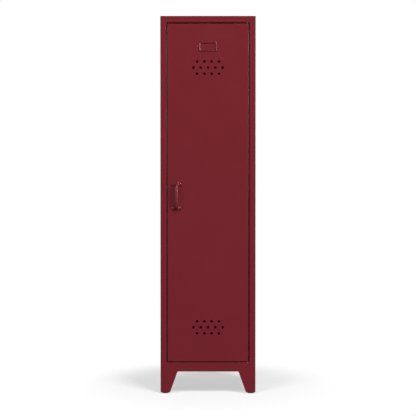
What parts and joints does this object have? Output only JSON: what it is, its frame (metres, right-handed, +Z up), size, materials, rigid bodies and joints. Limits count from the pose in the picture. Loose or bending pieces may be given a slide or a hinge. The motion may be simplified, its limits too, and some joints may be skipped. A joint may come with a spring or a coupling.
{
  "type": "narrow locker",
  "caption": "Tall narrow steel locker on tapered legs: flush pivot-hung door with vents, card frame and bow handle, magnetic catch, shelves, coat rail and levelling feet.",
  "frame": {"origin": "on the floor, at the middle of the whole footprint including the handle", "axes": "+Z up, the door faces -Y, +X to the right of a person facing the door"},
  "size_m": [0.46, 0.388, 1.825],
  "materials": {
    "powder_coat": "dark red powder coat on steel sheet, satin, fine orange peel",
    "zinc_plated_steel": "bright zinc plate",
    "chromed_tube": "chromed steel tube",
    "black_pad": "black moulded plastic, fine grain",
    "black_rubber": "matt black rubber",
    "grey_case": "grey moulded plastic",
    "ferrite": "dark sintered ferrite",
    "black_nylon": "black nylon"
  },
  "bodies": {
    "carcass": {"back_panel": "powder_coat", "bottom_pivot_bracket": "zinc_plated_steel", "bottom_pivot_pin": "powder_coat", "catch_bracket": "zinc_plated_steel", "catch_case": "grey_case", "catch_magnet": "ferrite", "catch_pole_plates": "zinc_plated_steel", "catch_screws": "zinc_plated_steel", "coat_rail": "chromed_tube", "door_buffers": "black_rubber", "door_stop_bottom": "powder_coat", "door_stop_latch": "powder_coat", "door_stop_top": "powder_coat", "floor_panel": "powder_coat", "foot_plate_front_left": "zinc_plated_steel", "foot_plate_front_right": "zinc_plated_steel", "foot_plate_rear_left": "zinc_plated_steel", "foot_plate_rear_right": "zinc_plated_steel", "front_frame": "powder_coat", "hat_shelf": "powder_coat", "hat_shelf_clips": "zinc_plated_steel", "left_side_panel": "powder_coat", "lower_shelf": "powder_coat", "lower_shelf_clips": "zinc_plated_steel", "rail_bracket_front": "zinc_plated_steel", "rail_bracket_rear": "zinc_plated_steel", "rail_rivets": "zinc_plated_steel", "right_side_panel": "powder_coat", "shelf_upright_front_left": "powder_coat", "shelf_upright_front_right": "powder_coat", "shelf_upright_rear_left": "powder_coat", "shelf_upright_rear_right": "powder_coat", "top_panel": "powder_coat", "top_pivot_bracket": "zinc_plated_steel", "top_pivot_pin": "powder_coat"},
    "door": {"door_panel": "powder_coat", "door_stiffener": "powder_coat", "top_pivot_plate": "zinc_plated_steel", "bottom_pivot_plate": "zinc_plated_steel", "top_pivot_bush": "black_nylon", "bottom_pivot_bush": "black_nylon", "handle": "powder_coat", "handle_screws": "powder_coat", "handle_nuts": "zinc_plated_steel", "label_holder": "powder_coat", "label_rivets": "powder_coat", "strike_plate": "zinc_plated_steel", "strike_rivets": "zinc_plated_steel"},
    "foot_front_left": {"foot_pad_front_left": "black_pad", "foot_stud_front_left": "zinc_plated_steel"},
    "foot_front_right": {"foot_pad_front_right": "black_pad", "foot_stud_front_right": "zinc_plated_steel"},
    "foot_rear_left": {"foot_pad_rear_left": "black_pad", "foot_stud_rear_left": "zinc_plated_steel"},
    "foot_rear_right": {"foot_pad_rear_right": "black_pad", "foot_stud_rear_right": "zinc_plated_steel"}
  },
  "joints": [
    {"name": "door_hinge", "type": "hinge", "parent": "carcass", "child": "door", "pos_m": [0.189, -0.148, 0.972], "axis": [0, 0, 1], "range_deg": [0, 105]},
    {"name": "foot_front_left_screw", "type": "slide", "parent": "carcass", "child": "foot_front_left", "axis": [0, 0, -1], "range_m": [0, 0.015]},
    {"name": "foot_front_right_screw", "type": "slide", "parent": "carcass", "child": "foot_front_right", "axis": [0, 0, -1], "range_m": [0, 0.015]},
    {"name": "foot_rear_left_screw", "type": "slide", "parent": "carcass", "child": "foot_rear_left", "axis": [0, 0, -1], "range_m": [0, 0.015]},
    {"name": "foot_rear_right_screw", "type": "slide", "parent": "carcass", "child": "foot_rear_right", "axis": [0, 0, -1], "range_m": [0, 0.015]}
  ]
}
